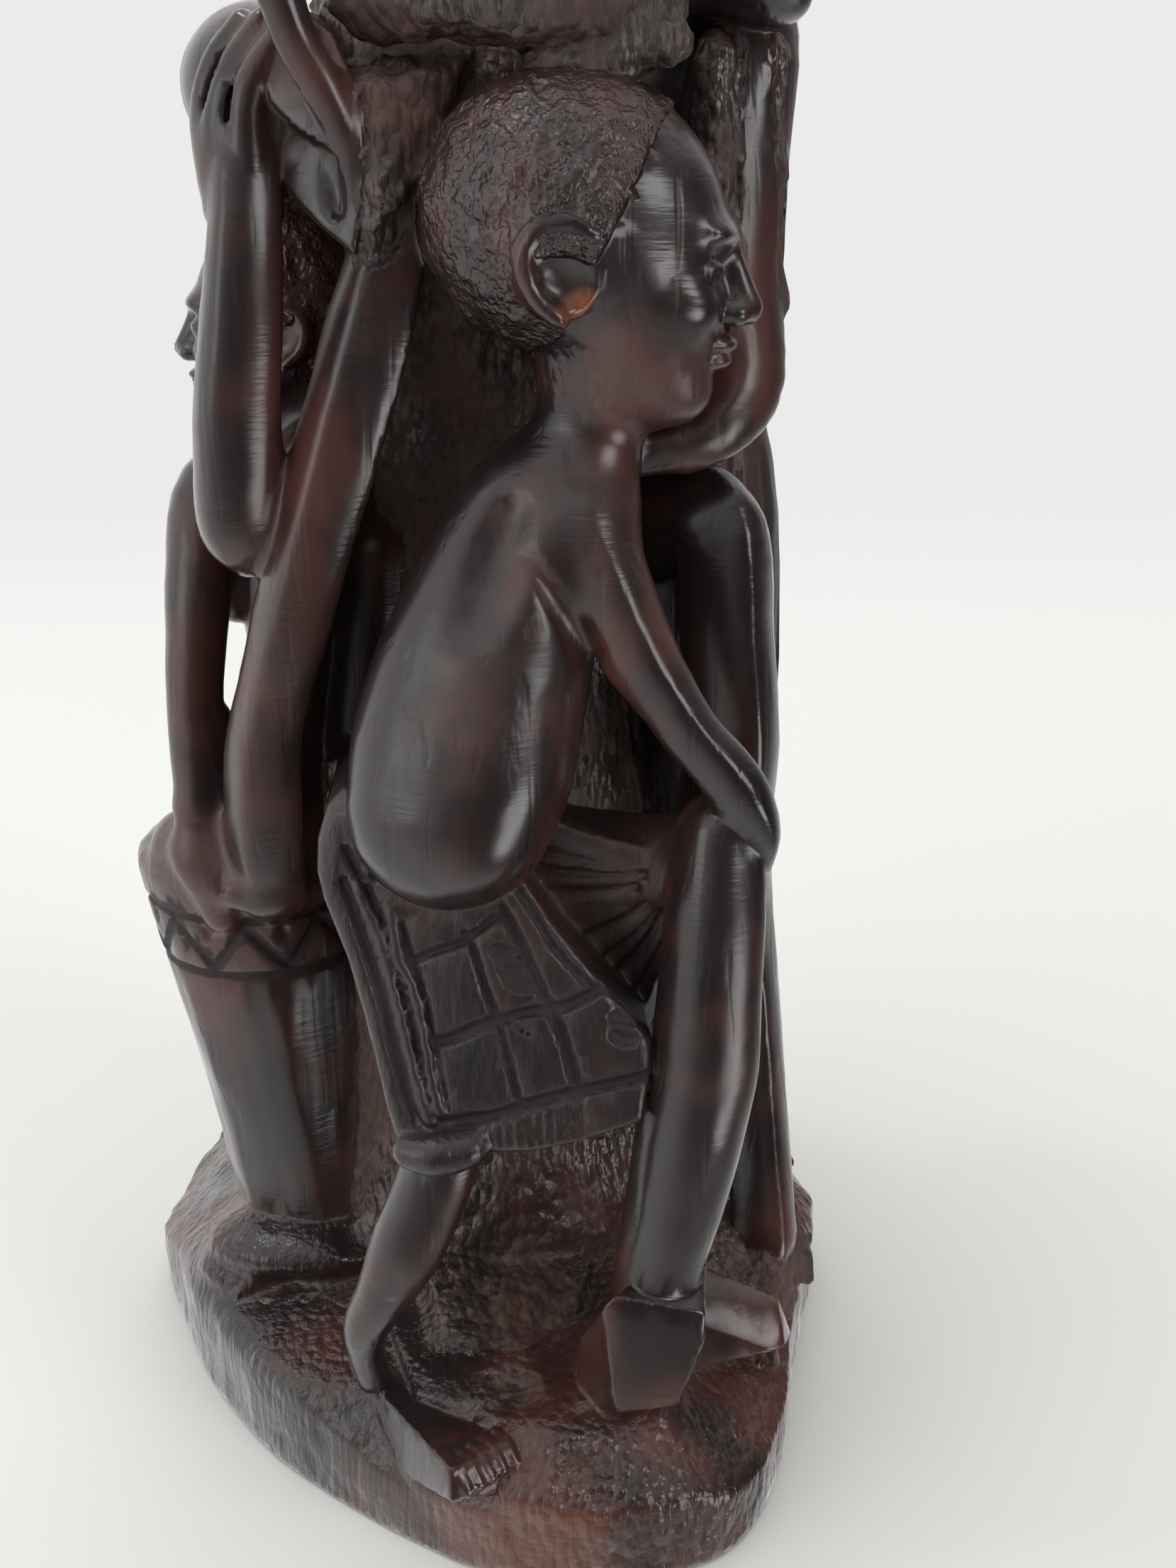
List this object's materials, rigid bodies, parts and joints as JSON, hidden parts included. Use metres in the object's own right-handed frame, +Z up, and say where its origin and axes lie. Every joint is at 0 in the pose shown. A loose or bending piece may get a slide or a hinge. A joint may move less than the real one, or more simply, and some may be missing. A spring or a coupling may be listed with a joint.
{
  "type": "makonde ujamaa carving",
  "caption": "Family-tree figure column in dark hardwood: villagers, a drum and a pot carved from one log on its own low base; stands free on its underside.",
  "frame": {"origin": "centre of the bounding box of the underside, on the surface that the carving stands on", "axes": "+Z up along the log; -Y is the front, where the bending man stands; +X is to the viewer's right"},
  "size_m": [0.0959, 0.1023, 0.25],
  "materials": {
    "blackwood": "hand-polished near-black hardwood with a satin sheen, matte brown in the rough-cut hollows"
  },
  "bodies": {
    "root": {"carving": "blackwood"}
  },
  "joints": []
}
